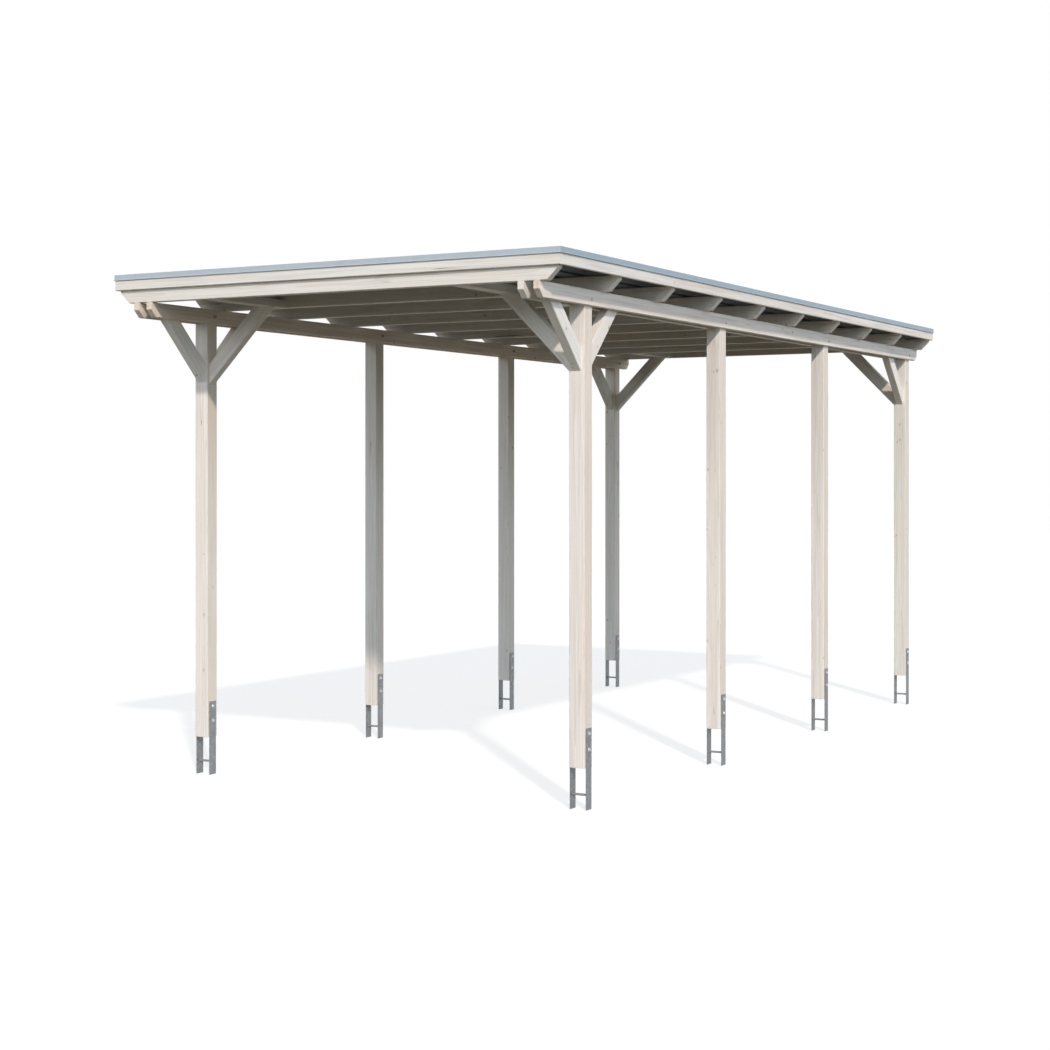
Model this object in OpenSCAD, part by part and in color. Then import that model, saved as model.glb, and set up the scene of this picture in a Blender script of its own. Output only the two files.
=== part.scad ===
// Flat-roofed timber carport: two rows of posts on steel anchors, twin beams, knee braces,
// splay-cut rafters and a trapezoidal sheet roof inside a fascia with a metal edge cap.
// Millimetres, +Z up, +Y towards the back, origin on the ground under the middle of the roof.

/* [Layout] */
// Distance between the two rows of posts, centre to centre
row_spacing = 3154; // [2400:1:4200]
// Distance between neighbouring posts in a row, centre to centre
post_pitch = 2267.5; // [1800:0.5:2800]
// Roof edge to the centres of the front posts
front_overhang = 741; // [660:1:1000]
// Roof edge to the centres of the back posts
back_overhang = 255.5; // [180:0.5:400]
// Roof edge to the centres of a row of posts
side_overhang = 242.5; // [190:0.5:340]
// Height of the beams' underside above the ground
eaves_h = 3360; // [2200:1:3800]

/* [Posts] */
// Side of the square glued-laminated post
post_w = 115; // [100:1:140]
// Height of the post's foot above the ground
post_foot_z = 281; // [150:1:350]
// Thickness of the tongue that stands between the twin beams
tongue_t = 70; // [50:1:80]
// Eased edge on all timber
timber_ease = 4; // [2:0.5:6]

/* [Anchors] */
// Width of an anchor plate
plate_w = 76; // [60:1:95]
// Thickness of an anchor plate
plate_t = 5; // [4:0.5:10]
// Height of an anchor plate
plate_h = 545; // [450:1:650]
// Diameter of the rod between the plates
rod_d = 16; // [10:1:24]
// Height of the rod's axis above the ground
rod_z = 98; // [60:1:140]
// Diameter of the screw holes in the plates
plate_hole_d = 11; // [8:0.5:14]
// Top of the plate to the upper screw hole
plate_hole_inset = 36; // [25:1:50]
// Distance between the two screw holes
plate_hole_pitch = 108; // [80:1:120]

/* [Beams and rafters] */
// Thickness of each of the twin beams
beam_t = 45; // [38:1:70]
// Height of a beam
beam_h = 106; // [90:1:160]
// Roof edge to the end of a beam
beam_end_setback = 22; // [0:1:40]
// Height of the 45 degree cut at the lower corner of a beam's end
beam_end_cut = 54; // [20:1:80]
// Thickness of a rafter
rafter_t = 60; // [45:1:70]
// Height of a rafter
rafter_h = 106; // [90:1:160]
// Gap between a rafter's end and the side fascia
rafter_end_gap = 6.5; // [4:0.5:30]
// Height of the upright end above a rafter's 45 degree splay
rafter_butt_h = 28; // [20:1:60]

/* [Knee braces] */
// Depth of a brace across its length
brace_h = 108; // [80:1:120]
// Rise of a brace along the row, from its toe on the post to the top of the beams
row_brace_rise = 543; // [400:1:640]
// Rise of an inward brace, from its toe on the post to the top of the beams
inward_brace_rise = 555; // [400:1:640]
// Clearance on each side of a brace between the twin beams
brace_gap = 1; // [0.5:0.5:3]

/* [Roof edge] */
// Thickness of the fascia board
fascia_t = 24; // [16:1:32]
// Overlap of the fascia below the top of the rafters
fascia_lap = 14; // [5:1:30]
// Thickness of the batten that carries the fascia
batten_t = 45; // [35:1:55]
// Height of the batten above the rafters
batten_h = 97.8; // [60:0.1:140]
// Gap between the battens at the corners
batten_gap = 1; // [1:0.5:4]
// Distance that the edge cap stands out from the fascia
cap_proud = 4; // [3:0.5:14]
// Height of the edge cap's outer leg
cap_leg_h = 35; // [25:1:55]
// Height of the edge cap's inner leg
cap_inner_h = 70; // [40:1:75]
// Thickness of the edge cap
cap_t = 1.2; // [0.8:0.1:2]

/* [Roof sheets] */
// Thickness of a trapezoidal sheet
sheet_t = 0.8; // [0.6:0.1:1.5]
// Height of a rib
rib_h = 20; // [12:1:25]
// Width of a rib at its crown
rib_crown_w = 36; // [20:1:50]
// Width of a rib's sloping flank, seen from above
rib_flank_w = 14; // [8:1:22]
// Gap between the sheets and the battens
sheet_gap = 3; // [1:0.5:8]
// Clearance between two sheets where one rib covers the other
lap_gap = 0.3; // [0.2:0.1:1]
// Height of a covering or covered lip above the pan
lap_lip_z = 6; // [4:0.5:8]

/* [Hidden] */
ROWS = ["front", "second", "third", "back"];
SIDES = ["left", "right"];
PLACES = ["outer", "inner"];
ENDS = ["front", "back"];
SHEETS = ["left", "middle", "right"];
rafter_count = 10;
ribs_per_sheet = 6;
// A cut that runs through, and room past a mitre
through = 1;

post_rows = len(ROWS);
roof_w = row_spacing + 2 * side_overhang;
roof_l = front_overhang + (post_rows - 1) * post_pitch + back_overhang;
beam_top = eaves_h + beam_h;
rafter_top = beam_top + rafter_h;
batten_top = rafter_top + batten_h;

// Half sizes of the fascia's outer face, its inner face and the battens' inner face
fascia_out = [roof_w / 2 - cap_proud, roof_l / 2 - cap_proud];
fascia_in = fascia_out - [fascia_t, fascia_t];
batten_in = fascia_in - [batten_t, batten_t];

brace_t = tongue_t - 2 * brace_gap;
brace_upright = brace_h * sqrt(2);

rafter_pitch = (2 * fascia_in[1] - rafter_t) / (rafter_count - 1);
rafter_half_l = fascia_in[0] - rafter_end_gap;
sheet_half_w = batten_in[0] - sheet_gap;
sheet_half_l = batten_in[1] - sheet_gap;
rib_pitch = 2 * sheet_half_w / (len(SHEETS) * ribs_per_sheet);

timber = [0.88, 0.85, 0.81];
steel = [0.56, 0.58, 0.60];
cap_grey = [0.70, 0.74, 0.78];
sheet_grey = [0.16, 0.17, 0.18];

function mirror_sign(side) = side == 0 ? -1 : 1;
function post_x(side) = mirror_sign(side) * row_spacing / 2;
function post_y(row) = -roof_l / 2 + front_overhang + row * post_pitch;
function rafter_y(i) = -fascia_in[1] + rafter_t / 2 + i * rafter_pitch;
function rafter_name(i) =
    i == 0 ? "front_rafter" : i == rafter_count - 1 ? "back_rafter" : str("rafter_", i + 1);
// The rafter in front of a place along the roof
function bay_at(y) = min(rafter_count - 2, floor((y - rafter_y(0)) / rafter_pitch));
// The first and last rows have knee braces
function end_row(end) = end == 0 ? 0 : post_rows - 1;

POSTS = [for (row = ROWS) for (side = SIDES) str(row, "_", side, "_post")];
ANCHORS = [for (row = ROWS) for (side = SIDES) str(row, "_", side, "_anchor")];
BEAMS = [for (side = SIDES) for (place = PLACES) str(side, "_", place, "_beam")];
BRACES = [for (end = ENDS) for (side = SIDES) str(end, "_", side, "_braces")];
RAFTERS = [for (i = [0 : rafter_count - 1]) rafter_name(i)];
END_FASCIAS = [for (end = ENDS) str(end, "_fascia")];
SIDE_FASCIAS = [for (side = SIDES) str(side, "_fascia")];
ROOF_SHEETS = [for (sheet = SHEETS) str(sheet, "_roof_sheet")];

// Cross-section of a timber with eased edges, centred; a thin board is eased less
module eased_section(w, h) {
    e = min(timber_ease, min(w, h) / 4);
    polygon([
        [-w / 2 + e, -h / 2], [w / 2 - e, -h / 2], [w / 2, -h / 2 + e], [w / 2, h / 2 - e],
        [w / 2 - e, h / 2], [-w / 2 + e, h / 2], [-w / 2, h / 2 - e], [-w / 2, -h / 2 + e]
    ]);
}

// Timber of a given section lying along X, centred
module timber_x(l, w, h) {
    rotate([90, 0, 90]) linear_extrude(l, center = true) eased_section(w, h);
}

// Timber of a given section lying along Y, centred
module timber_y(l, w, h) {
    rotate([90, 0, 0]) linear_extrude(l, center = true) eased_section(w, h);
}

// An outline drawn in the YZ plane, thickened evenly about X = 0
module slab_x(t) {
    rotate([90, 0, 90]) linear_extrude(t, center = true) children();
}

// An outline drawn in the XZ plane, thickened evenly about Y = 0
module slab_y(t) {
    rotate([90, 0, 0]) linear_extrude(t, center = true) children();
}

// Post with a shoulder on each side for the twin beams
module post(row, side) {
    color(timber) translate([post_x(side), post_y(row), 0]) {
        translate([0, 0, post_foot_z]) linear_extrude(eaves_h - post_foot_z) eased_section(post_w, post_w);
        translate([-tongue_t / 2, -post_w / 2, eaves_h - through]) cube([tongue_t, post_w, beam_h + through]);
    }
}

// Two upright plates that hold a post's foot clear of the ground, joined by a welded rod
module anchor(row, side) {
    color(steel) translate([post_x(side), post_y(row), 0]) {
        for (face = [-1, 1]) anchor_plate(face);
        translate([0, 0, rod_z]) rotate([0, 90, 0]) cylinder(h = post_w + plate_t, d = rod_d, center = true, $fn = 48);
    }
}

module anchor_plate(face) {
    plate_x = face * (post_w + plate_t) / 2;
    difference() {
        translate([plate_x - plate_t / 2, -plate_w / 2, 0]) cube([plate_t, plate_w, plate_h]);
        for (i = [0, 1])
            translate([plate_x, 0, plate_h - plate_hole_inset - i * plate_hole_pitch])
                rotate([0, 90, 0]) cylinder(h = plate_t + 2 * through, d = plate_hole_d, center = true, $fn = 32);
    }
}

// One of the twin beams, with the lower corner of each end cut at 45 degrees
module beam(side, place) {
    out = mirror_sign(side) * (place == 0 ? 1 : -1);
    half_l = roof_l / 2 - beam_end_setback;
    color(timber) translate([post_x(side) + out * (tongue_t + beam_t) / 2, 0, eaves_h])
        intersection() {
            slab_x(beam_t) polygon([
                [-half_l + beam_end_cut, 0], [half_l - beam_end_cut, 0], [half_l, beam_end_cut],
                [half_l, beam_h], [-half_l, beam_h], [-half_l, beam_end_cut]
            ]);
            translate([0, 0, beam_h / 2]) timber_y(roof_l, beam_t, beam_h);
        }
}

// A 45 degree brace that starts on the face Y = 0 and rises towards +Y to the top of the beams
module brace(rise) {
    toe_z = beam_top - rise;
    intersection() {
        slab_x(brace_t) polygon([
            [0, toe_z], [rise, beam_top], [rise - brace_upright, beam_top], [0, toe_z + brace_upright]
        ]);
        translate([0, rise / 2, toe_z + rise / 2 + brace_upright / 2])
            rotate([45, 0, 0]) timber_y(2 * rise, brace_t, brace_h);
    }
}

// The braces of a corner post: along the row between the twin beams, and one inwards
module corner_braces(end, side) {
    along_row = end == 0 ? [0, 180] : [180];
    inwards = side == 0 ? -90 : 90;
    color(timber) translate([post_x(side), post_y(end_row(end)), 0]) {
        for (turn = along_row) rotate([0, 0, turn]) translate([0, post_w / 2, 0]) brace(row_brace_rise);
        rotate([0, 0, inwards]) translate([0, post_w / 2, 0]) brace(inward_brace_rise);
    }
}

// Rafter across both rows, with splayed ends
module rafter(i) {
    splay = rafter_h - rafter_butt_h;
    l = rafter_half_l;
    color(timber) translate([0, rafter_y(i), beam_top])
        intersection() {
            slab_y(rafter_t) polygon([
                [-l + splay, 0], [l - splay, 0], [l, splay], [l, rafter_h], [-l, rafter_h], [-l, splay]
            ]);
            translate([0, 0, rafter_h / 2]) timber_x(roof_w, rafter_t, rafter_h);
        }
}

// Rafter stock laid flat between two rafters, over the top of each inward brace
module brace_noggins() {
    noggin_l = rafter_pitch - rafter_t;
    brace_tip = row_spacing / 2 - post_w / 2 - inward_brace_rise;
    color(timber) for (end = [0, 1]) for (side = [0, 1]) {
        bay = bay_at(post_y(end_row(end)));
        translate([
            mirror_sign(side) * (brace_tip + rafter_h / 2),
            rafter_y(bay) + rafter_pitch / 2,
            beam_top + rafter_t / 2
        ]) timber_y(noggin_l, rafter_h, rafter_t);
    }
}

// Fascia across the front or back, over the ends of the side fascias
module end_fascia(end) {
    board_h = batten_h + fascia_lap;
    color(timber) translate([
        0, mirror_sign(end) * (fascia_out[1] - fascia_t / 2), batten_top - board_h / 2
    ]) timber_x(2 * fascia_out[0], fascia_t, board_h);
}

// Fascia along one side, between the end fascias
module side_fascia(side) {
    board_h = batten_h + fascia_lap;
    color(timber) translate([
        mirror_sign(side) * (fascia_out[0] - fascia_t / 2), 0, batten_top - board_h / 2
    ]) timber_y(2 * fascia_in[1], fascia_t, board_h);
}

// Battens on the rafters behind the fascia, the end ones between the side ones
module edge_battens() {
    end_l = 2 * (batten_in[0] - batten_gap);
    color(timber) for (s = [-1, 1]) {
        translate([s * (fascia_in[0] - batten_t / 2), 0, rafter_top + batten_h / 2])
            cube([batten_t, 2 * fascia_in[1], batten_h], center = true);
        translate([0, s * (fascia_in[1] - batten_t / 2), rafter_top + batten_h / 2])
            cube([end_l, batten_t, batten_h], center = true);
    }
}

// Section of the edge cap from its outer face at 0 inwards: outer leg with a drip lip, top, inner leg
module cap_section() {
    top = batten_top + cap_t;
    inner = cap_proud + fascia_t + batten_t + cap_t;
    polygon([
        [0, top], [inner, top], [inner, top - cap_inner_h], [inner - cap_t, top - cap_inner_h],
        [inner - cap_t, batten_top], [cap_t, batten_top], [cap_t, top - cap_leg_h + cap_t],
        [cap_proud, top - cap_leg_h + cap_t], [cap_proud, top - cap_leg_h], [0, top - cap_leg_h]
    ]);
}

// Edge cap along an edge that lies half_w out from the middle, mitred at both ends
module edge_cap(half_l, half_w) {
    depth = cap_proud + fascia_t + batten_t + cap_t + through;
    intersection() {
        translate([0, -half_w, 0]) rotate([90, 0, 90])
            linear_extrude(2 * half_l, center = true) cap_section();
        linear_extrude(batten_top + cap_t + through) polygon([
            [-half_l, -half_w], [half_l, -half_w], [half_l - depth, -half_w + depth],
            [-half_l + depth, -half_w + depth]
        ]);
    }
}

module end_edge_caps() {
    color(cap_grey) for (turn = [0, 180]) rotate([0, 0, turn]) edge_cap(roof_w / 2, roof_l / 2);
}

module side_edge_caps() {
    color(cap_grey) for (turn = [90, 270]) rotate([0, 0, turn]) edge_cap(roof_l / 2, roof_w / 2);
}

// Top line of one rib, raised where it covers a neighbour's rib
function rib_line(x, lift) = [
    [x - rib_crown_w / 2 - rib_flank_w * (1 + lift / rib_h), 0], [x - rib_crown_w / 2, rib_h + lift],
    [x + rib_crown_w / 2, rib_h + lift], [x + rib_crown_w / 2 + rib_flank_w * (1 + lift / rib_h), 0]
];

// Place on a rib's flank at the height of a lap's lip
function lip_x(lift) = rib_crown_w / 2 + rib_flank_w * (rib_h + lift - lap_lip_z) / rib_h;

// Top line of one sheet from left to right: its first rib covers the last rib of the sheet before it
function sheet_line(k) =
    let (
        last = k == len(SHEETS) - 1,
        x0 = -sheet_half_w + k * ribs_per_sheet * rib_pitch,
        lift = sheet_t + lap_gap,
        cover = rib_line(x0, lift),
        covered = rib_line(x0 + ribs_per_sheet * rib_pitch, 0),
        start = k == 0 ? [[x0, 0]] : [[x0 - lip_x(lift), lap_lip_z], cover[1], cover[2], cover[3]],
        middle = [for (i = [1 : ribs_per_sheet - 1]) each rib_line(x0 + i * rib_pitch, 0)],
        finish = last
            ? [[sheet_half_w, 0]]
            : [covered[0], covered[1], covered[2], [x0 + ribs_per_sheet * rib_pitch + lip_x(0), lap_lip_z]]
    )
    concat(start, middle, finish);

// Trapezoidal sheet lying on the rafters, ribs along Y
module roof_sheet(k) {
    top = sheet_line(k);
    n = len(top);
    under = [for (i = [n - 1 : -1 : 0]) top[i] - [0, sheet_t]];
    color(sheet_grey) translate([0, 0, rafter_top + sheet_t])
        slab_y(2 * sheet_half_l) polygon(concat(top, under));
}

for (row = [0 : post_rows - 1]) for (side = [0, 1]) {
    post(row, side);
    anchor(row, side);
}
for (side = [0, 1]) for (place = [0, 1])
    beam(side, place);
for (end = [0, 1]) for (side = [0, 1])
    corner_braces(end, side);
for (i = [0 : rafter_count - 1])
    rafter(i);
for (end = [0, 1])
    end_fascia(end);
for (side = [0, 1])
    side_fascia(side);
for (k = [0 : len(SHEETS) - 1])
    roof_sheet(k);
brace_noggins();
edge_battens();
end_edge_caps();
side_edge_caps();
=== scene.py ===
"""Looks of the flat-roofed carport: glazed spruce, zinc anchors, dark roof sheets, pale edge caps."""

import math
import random

import bmesh
import bpy
from mathutils import Euler, Matrix, Vector


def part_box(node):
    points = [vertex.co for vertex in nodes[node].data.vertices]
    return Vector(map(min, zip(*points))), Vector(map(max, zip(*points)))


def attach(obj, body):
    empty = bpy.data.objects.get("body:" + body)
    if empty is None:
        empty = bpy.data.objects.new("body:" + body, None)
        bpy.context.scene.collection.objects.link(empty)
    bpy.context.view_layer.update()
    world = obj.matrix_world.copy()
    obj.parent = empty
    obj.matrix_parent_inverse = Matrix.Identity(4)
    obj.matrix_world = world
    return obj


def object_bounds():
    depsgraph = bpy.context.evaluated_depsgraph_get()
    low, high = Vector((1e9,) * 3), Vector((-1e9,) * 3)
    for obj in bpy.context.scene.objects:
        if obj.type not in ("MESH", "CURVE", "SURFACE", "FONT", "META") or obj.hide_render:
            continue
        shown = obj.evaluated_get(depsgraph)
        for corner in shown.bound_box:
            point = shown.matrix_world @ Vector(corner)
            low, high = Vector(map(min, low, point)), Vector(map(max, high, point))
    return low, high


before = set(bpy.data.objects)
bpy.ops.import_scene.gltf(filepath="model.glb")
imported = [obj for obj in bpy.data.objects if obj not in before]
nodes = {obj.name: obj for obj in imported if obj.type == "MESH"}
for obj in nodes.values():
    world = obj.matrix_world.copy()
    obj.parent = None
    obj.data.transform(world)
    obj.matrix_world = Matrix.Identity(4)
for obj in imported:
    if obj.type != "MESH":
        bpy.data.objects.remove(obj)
cad_low, cad_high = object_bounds()
scene = bpy.context.scene
scene.view_settings.view_transform = "Standard"
random.seed(7)

# Node names
ROWS = ("front", "second", "third", "back")
SIDES = ("left", "right")
POSTS = [f"{row}_{side}_post" for row in ROWS for side in SIDES]
ANCHORS = [f"{row}_{side}_anchor" for row in ROWS for side in SIDES]
BEAMS = [f"{side}_{place}_beam" for side in SIDES for place in ("outer", "inner")]
BRACES = [f"{end}_{side}_braces" for end in ("front", "back") for side in SIDES]
RAFTERS = ["front_rafter"] + [f"rafter_{i}" for i in range(2, 10)] + ["back_rafter"]
FASCIAS = [f"{end}_fascia" for end in ("front", "back", "left", "right")]
SHEETS = [f"{place}_roof_sheet" for place in ("left", "middle", "right")]

# Sizes in metres, and counts, that the frame's boxes don't give
LAMELLAE_PER_POST = 3
BRACE_H = 0.108
BRACE_T = 0.068
ROW_BRACE_UP = 0.012
BATTEN_T = 0.045
CAP_LEG_H = 0.035
ANCHOR_HOLES_BELOW_TOP = (0.036, 0.144)
ANCHOR_ROD_D = 0.016
ANCHOR_ROD_Z = 0.098
SHEET_T = 0.0008
RIBS_PER_SHEET = 6


def box_of(name):
    """Middle and half size of a node's box."""
    low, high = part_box(name)
    return (low + high) / 2, (high - low) / 2


# Camera, at the photograph's viewing angle
IMAGE_PX = 1050
FOCAL_PX = 1919.69
HORIZON_PX = 476.42
SENSOR_MM = 36.0
CAMERA_PLACE = (7.489, -14.5435, 2.222)
CAMERA_TURN = (math.radians(90), 0, math.radians(29.101))
CAMERA_REACH = 200


def make_camera():
    lens = bpy.data.cameras.new("camera")
    lens.sensor_width = SENSOR_MM
    lens.lens = SENSOR_MM * FOCAL_PX / IMAGE_PX
    lens.shift_y = (HORIZON_PX - IMAGE_PX / 2) / IMAGE_PX
    lens.clip_end = CAMERA_REACH
    camera = bpy.data.objects.new("camera", lens)
    camera.location = CAMERA_PLACE
    camera.rotation_euler = CAMERA_TURN
    scene.collection.objects.link(camera)
    scene.camera = camera


make_camera()


# Shader helpers
def add(tree, kind, place, **settings):
    """A node of a kind at a place in the tree, with its settings."""
    made = tree.nodes.new(kind)
    made.location = place
    for key, value in settings.items():
        setattr(made, key, value)
    return made


def wire(tree, source, target):
    tree.links.new(source, target)


def feed(tree, socket, value):
    """Sets a socket to a value, or links it to another socket."""
    if isinstance(value, bpy.types.NodeSocket):
        tree.links.new(value, socket)
    else:
        socket.default_value = value


def math_node(tree, operation, a, b=0.0, c=0.0, clamp=False):
    made = tree.nodes.new("ShaderNodeMath")
    made.operation = operation
    made.use_clamp = clamp
    for socket, value in zip(made.inputs, (a, b, c)):
        feed(tree, socket, value)
    return made.outputs[0]


def times(tree, a, b):
    return math_node(tree, "MULTIPLY", a, b)


def minus(tree, a, b):
    return math_node(tree, "SUBTRACT", a, b)


def times_plus(tree, a, b, c, clamp=False):
    """a times b, plus c."""
    return math_node(tree, "MULTIPLY_ADD", a, b, c, clamp)


def off_middle(tree, value):
    """A value from 0 to 1, taken from its middle."""
    return minus(tree, value, 0.5)


def vector_math(tree, operation, a, b):
    made = tree.nodes.new("ShaderNodeVectorMath")
    made.operation = operation
    feed(tree, made.inputs[0], a)
    feed(tree, made.inputs[1], b)
    return made.outputs["Value"] if operation == "DOT_PRODUCT" else made.outputs[0]


def split(tree, kind, value):
    """The three parts of a vector (XYZ) or a colour (Color)."""
    made = tree.nodes.new("ShaderNodeSeparate" + kind)
    wire(tree, value, made.inputs[0])
    return made.outputs[:3]


def smooth(tree, value, low, high):
    """Smooth step of a value: 0 at low, 1 at high."""
    made = tree.nodes.new("ShaderNodeMapRange")
    made.interpolation_type = "SMOOTHSTEP"
    for socket, part in zip(made.inputs, (value, low, high)):
        feed(tree, socket, part)
    return made.outputs[0]


def noise(tree, vector, scale, detail, rough=0.5):
    made = tree.nodes.new("ShaderNodeTexNoise")
    feed(tree, made.inputs["Vector"], vector)
    made.inputs["Scale"].default_value = scale
    made.inputs["Detail"].default_value = detail
    made.inputs["Roughness"].default_value = rough
    return made.outputs["Fac"]


def grain_noise(tree, place, across, along, detail, rough=0.5):
    """Noise in member coordinates, drawn out along the grain."""
    return noise(tree, vector_math(tree, "MULTIPLY", place, (across, across, along)), 1.0, detail, rough)


def mix_colour(tree, factor, a, b, blend="MIX"):
    made = tree.nodes.new("ShaderNodeMix")
    made.data_type = "RGBA"
    made.blend_type = blend
    feed(tree, made.inputs[0], factor)
    feed(tree, made.inputs[6], a)
    feed(tree, made.inputs[7], b)
    return made.outputs[2]


def darkened(tree, colour, tone):
    """A colour multiplied by a grey tone."""
    grey = tree.nodes.new("ShaderNodeCombineColor")
    for channel in grey.inputs[:3]:
        wire(tree, tone, channel)
    return mix_colour(tree, 1.0, colour, grey.outputs[0], "MULTIPLY")


def new_group(name, inputs, outputs):
    """An empty shader group with named sockets: {name: (kind, default)} in, {name: kind} out."""
    group = bpy.data.node_groups.new(name, "ShaderNodeTree")
    for label, (kind, default) in inputs.items():
        socket = group.interface.new_socket(label, in_out="INPUT", socket_type=kind)
        socket.default_value = default
    for label, kind in outputs.items():
        group.interface.new_socket(label, in_out="OUTPUT", socket_type=kind)
    given = add(group, "NodeGroupInput", (-1400, 0))
    out = add(group, "NodeGroupOutput", (1400, 0))
    return group, given.outputs, out.inputs


def new_material(name):
    """A material with an empty tree, its Principled shader and its output."""
    material = bpy.data.materials.new(name)
    material.use_nodes = True
    tree = material.node_tree
    tree.nodes.clear()
    shader = add(tree, "ShaderNodeBsdfPrincipled", (300, 0))
    output = add(tree, "ShaderNodeOutputMaterial", (600, 0))
    wire(tree, shader.outputs[0], output.inputs["Surface"])
    return material, tree, shader


def bump_into(tree, shader, height, distance):
    bump = add(tree, "ShaderNodeBump", (100, -300))
    bump.inputs["Strength"].default_value = 1.0
    bump.inputs["Distance"].default_value = distance
    feed(tree, bump.inputs["Height"], height)
    wire(tree, bump.outputs[0], shader.inputs["Normal"])


# Spruce and its glaze, as linear colours
GLAZE_WARM = (0.875, 0.805, 0.757, 1)
GLAZE_COOL = (0.820, 0.812, 0.775, 1)
EARLY_WOOD = (0.70, 0.50, 0.32, 1)
LATE_WOOD = (0.47, 0.29, 0.16, 1)
KNOT_WOOD = (0.36, 0.21, 0.12, 1)

# Noises of the spruce: scale across and along the grain, detail, roughness
STREAK_GRAIN = (42.0, 0.8, 3.0, 0.55)
BAND_GRAIN = (58.0, 1.7, 2.0)
FIBRE_GRAIN = (620.0, 9.0, 2.0, 0.6)
PATCH_GRAIN = (7.0, 1.3, 2.0)
HUE_GRAIN = (16.0, 1.1, 2.0)
CHECK_GRAIN = (17.0, 0.33, 1.0)
CHECK_PLACE_GRAIN = (5.0, 1.1, 1.0)
RING_GRAIN = (9.0, 0.7, 2.0)
SCUFF_GRAIN = (60.0, 14.0, 3.0)
KNOT_EDGE_NOISE = (90.0, 2.0)

# Steps of those noises, from none to all
BAND_STEP = (0.40, 0.72)
CHECK_PLACE_STEP = (0.58, 0.66)
CHECK_LINE_STEP = (0.0046, 0.0010)
SCUFF_STEP = (0.42, 0.66)

# Room in the log that lamellae are cut from, and a lamella so wide that a timber is in one piece
LOG_ROOM = (3.0, 3.0, 9.0)
SOLID_TIMBER = 10.0

# Knots: few cells hold one; sizes are shares of a cell, ranges are spread and start
KNOT_CELL_M = 0.16
KNOT_CELL_ALONG = 0.75
KNOT_SIDE_SHIFT = 5.0
KNOT_PICK_STEP = (0.68, 0.95)
KNOT_SIZE_RANGE = (0.035, 0.028)
KNOT_RAGGED_RANGE = (0.5, 0.75)
KNOT_STEP = (1.20, 0.70)
KNOT_RIM_STEP = (0.45, 0.9)
KNOT_HALO_STEP = (3.2, 0.8)

# Year rings: where the pith lies as spread and start in metres, and how late wood darkens in a ring
PITH_X_RANGE = (0.20, -0.10)
PITH_Y_RANGE = (0.10, 0.07)
RING_M = 0.0047
RING_WANDER_M = 0.034
RING_BEND_M = 0.009
LATE_WOOD_RISE = 2.6
LATE_WOOD_STEP = (1.0, 0.93)

# Glue lines and worn arrises, in metres from the line or the edge
GLUE_LINE_STEP = (0.0014, 0.0003)
WORN_ARRIS_STEP = (0.0065, 0.0025)

# The glaze: how well it covers, what thins it, how its hue and tone vary as gain and start
GLAZE_COVER = 0.81
STREAK_COVER = 0.36
PATCH_COVER = 0.16
FIBRE_COVER = 0.16
GLAZE_LOSS = {
    "late wood": 0.20,
    "worn arris": 0.18,
    "end grain": 0.10,
    "knot": 0.37,
    "knot halo": 0.07,
    "glue line": 0.25,
}
HUE_RANGE = (1.5, -0.7)
LAMELLA_HUE = 0.9
LAMELLA_TONE_RANGE = (0.07, 0.98)
# The darker tone along the checks is painted shade inside the cracks; their relief comes from LIFT.
TONE_LOSS = {"band": 0.085, "check": 0.55, "knot rim": 0.13}

# The surface: roughness, gloss and relief
STREAK_ROUGH_RANGE = (0.12, 0.52)
END_GRAIN_ROUGH = 0.12
LATE_WOOD_LIFT = 0.35
LIFT = {"fibre": 0.35, "check": -2.4, "glue line": -0.5, "knot": 0.4}
WOOD_SPECULAR = 0.12
WOOD_BUMP_M = 0.0005
END_GRAIN_STEP = (0.5, 0.72)


def place_in_log(tree, point, lamella_at, seed):
    """Three draws for each glued lamella, and its own place in the log."""
    key = add(tree, "ShaderNodeCombineXYZ", (-1000, 300))
    wire(tree, math_node(tree, "FLOOR", lamella_at), key.inputs[0])
    wire(tree, seed, key.inputs[1])
    draw = add(tree, "ShaderNodeTexWhiteNoise", (-900, 300), noise_dimensions="2D")
    wire(tree, key.outputs[0], draw.inputs["Vector"])
    shift = vector_math(tree, "MULTIPLY", draw.outputs["Color"], LOG_ROOM)
    return split(tree, "Color", draw.outputs["Color"]), vector_math(tree, "ADD", point, shift)


def branch_knots(tree, place, side_face):
    """Some cells of a coarse pattern on each face hold the end of a branch: knot, dark rim, bent grain."""
    at_x, at_y, at_z = split(tree, "XYZ", place)
    on_side = math_node(tree, "GREATER_THAN", side_face, 0.5)
    across = times_plus(tree, on_side, minus(tree, at_y, at_x), at_x)
    on_face = add(tree, "ShaderNodeCombineXYZ", (-800, -300))
    wire(tree, times_plus(tree, on_side, KNOT_SIDE_SHIFT, across), on_face.inputs[0])
    wire(tree, times(tree, at_z, KNOT_CELL_ALONG), on_face.inputs[1])
    cells = add(tree, "ShaderNodeTexVoronoi", (-700, -300), voronoi_dimensions="2D")
    cells.inputs["Scale"].default_value = 1 / KNOT_CELL_M
    wire(tree, on_face.outputs[0], cells.inputs["Vector"])
    pick, girth, _ = split(tree, "Color", cells.outputs["Color"])
    chosen = smooth(tree, pick, *KNOT_PICK_STEP)
    size = times_plus(tree, girth, *KNOT_SIZE_RANGE)
    ragged = times_plus(tree, noise(tree, place, *KNOT_EDGE_NOISE), *KNOT_RAGGED_RANGE)
    near = math_node(tree, "DIVIDE", times(tree, cells.outputs["Distance"], ragged), size)
    knot = times(tree, smooth(tree, near, *KNOT_STEP), chosen)
    rim = times(tree, knot, smooth(tree, near, *KNOT_RIM_STEP))
    halo = times(tree, smooth(tree, near, *KNOT_HALO_STEP), chosen)
    return knot, rim, halo


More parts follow.
